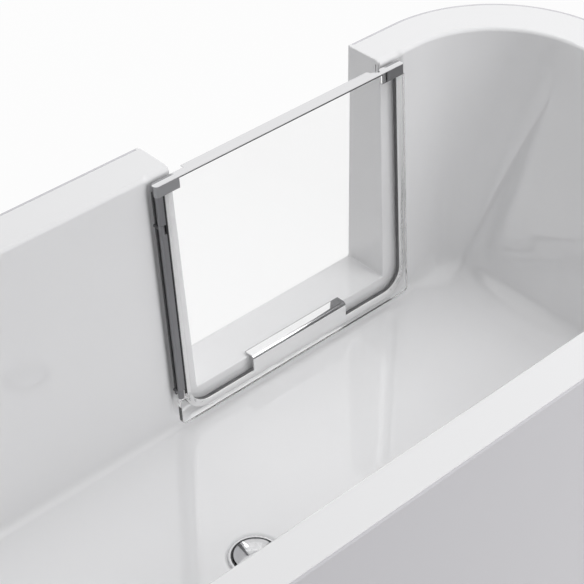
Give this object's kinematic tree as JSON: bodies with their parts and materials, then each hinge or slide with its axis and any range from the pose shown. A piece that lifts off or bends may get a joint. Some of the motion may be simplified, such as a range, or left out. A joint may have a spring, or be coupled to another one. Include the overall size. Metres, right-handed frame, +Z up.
{
  "type": "bathtub with glass door",
  "caption": "Rectangular bathtub with one round corner and a low glass door in its long side that seals against the basin wall and swings inward.",
  "frame": {"origin": "centre of the footprint, on the floor under the levelling feet", "axes": "+Z up, +X along the tub away from its round corner, -Y towards the side with the door"},
  "size_m": [1.8, 0.8, 0.6],
  "materials": {
    "acrylic": "glossy white sanitary acrylic",
    "panel_white": "glossy white acrylic sheet",
    "zinc": "zinc-plated steel",
    "board": "resin-bonded chipboard",
    "foot_black": "black moulded plastic on a zinc-plated stem",
    "chrome": "bright chrome plate",
    "rubber": "black rubber",
    "pipe_white": "white polypropylene",
    "pipe_grey": "grey polypropylene",
    "stainless": "satin stainless steel",
    "brass": "machined brass",
    "cable_black": "black plastic sleeve",
    "clear_glass": "clear toughened glass with polished edges",
    "polished_metal": "mirror-polished metal",
    "satin_grey": "satin grey metal",
    "satin_aluminium": "satin anodised aluminium",
    "bush_plastic": "natural acetal",
    "seal_rubber": "dark grey rubber",
    "dark_grey": "dark grey satin coating",
    "hook_steel": "blackened steel"
  },
  "bodies": {
    "tub": {"tub_shell": "acrylic", "front_apron": "panel_white", "wall_panel": "panel_white", "end_panel": "panel_white", "panel_brackets": "zinc", "panel_screws": "zinc", "floor_board": "board", "leg_bar_1": "zinc", "leg_bar_2": "zinc", "leg_bar_3": "zinc", "bar_screws": "zinc", "foot_nuts": "zinc", "lock_nuts": "zinc", "waste_flange": "chrome", "waste_gasket": "rubber", "trap_body": "pipe_white", "trap_cap": "pipe_white", "outlet_pipe": "pipe_white", "lever_pin": "stainless", "overflow_face": "chrome", "overflow_gasket": "rubber", "overflow_body": "pipe_white", "overflow_nut": "pipe_white", "overflow_pipe": "pipe_grey", "control_cable": "cable_black", "hinge_base": "dark_grey", "hinge_bracket_upper": "stainless", "hinge_bracket_lower": "stainless", "hinge_pins": "stainless", "bracket_nuts": "zinc", "keeper": "acrylic"},
    "door": {"door_glass": "clear_glass", "top_rail": "polished_metal", "hinge_block": "satin_grey", "hinge_profile": "satin_aluminium", "hinge_bushes": "bush_plastic", "rail_screws": "zinc", "rail_gasket": "rubber", "edge_gasket": "rubber", "seal_frame": "satin_aluminium", "door_seal": "seal_rubber", "grip_lip": "polished_metal", "latch_housing": "dark_grey"},
    "latch": {"latch_button": "satin_grey", "latch_hook": "hook_steel"},
    "plug": {"plug_cap": "chrome", "plug_seal": "rubber", "plug_stem": "stainless"},
    "lever": {"lift_lever": "brass"},
    "knob": {"overflow_knob": "chrome", "knob_spindle": "stainless"},
    "foot_1": {"foot_1": "foot_black"},
    "foot_2": {"foot_2": "foot_black"},
    "foot_3": {"foot_3": "foot_black"},
    "foot_4": {"foot_4": "foot_black"},
    "foot_5": {"foot_5": "foot_black"},
    "foot_6": {"foot_6": "foot_black"}
  },
  "joints": [
    {"name": "door_hinge", "type": "hinge", "parent": "tub", "child": "door", "pos_m": [-0.08825, -0.31281, 0.60048], "axis": [0, 0.0427, -0.9991], "range_deg": [0, 95]},
    {"name": "latch_push", "type": "slide", "parent": "door", "child": "latch", "axis": [-1, 0, 0], "range_m": [0, 0.003]},
    {"name": "cover_turn", "type": "hinge", "parent": "tub", "child": "knob", "pos_m": [0.012, 0.32431, 0.49031], "axis": [0, -0.9991, 0.0427], "range_deg": [0, 90]},
    {"name": "plug_lift", "type": "slide", "parent": "tub", "child": "plug", "axis": [0, 0, 1], "range_m": [0, 0.0093]},
    {"name": "lever_swing", "type": "hinge", "parent": "tub", "child": "lever", "pos_m": [0.012, 0.01239, 0.08535], "axis": [-1, 0, 0], "range_deg": [0, 29.94]},
    {"name": "foot_1_screw", "type": "slide", "parent": "tub", "child": "foot_1", "axis": [0, 0, 1], "range_m": [-0.01, 0.008]},
    {"name": "foot_2_screw", "type": "slide", "parent": "tub", "child": "foot_2", "axis": [0, 0, 1], "range_m": [-0.01, 0.008]},
    {"name": "foot_3_screw", "type": "slide", "parent": "tub", "child": "foot_3", "axis": [0, 0, 1], "range_m": [-0.01, 0.008]},
    {"name": "foot_4_screw", "type": "slide", "parent": "tub", "child": "foot_4", "axis": [0, 0, 1], "range_m": [-0.01, 0.008]},
    {"name": "foot_5_screw", "type": "slide", "parent": "tub", "child": "foot_5", "axis": [0, 0, 1], "range_m": [-0.01, 0.008]},
    {"name": "foot_6_screw", "type": "slide", "parent": "tub", "child": "foot_6", "axis": [0, 0, 1], "range_m": [-0.01, 0.008]}
  ],
  "couplings": [
    {"joint": "plug_lift", "follows": "cover_turn", "m_per_rad": 0.0059206},
    {"joint": "lever_swing", "follows": "cover_turn", "ratio": 0.33269}
  ]
}
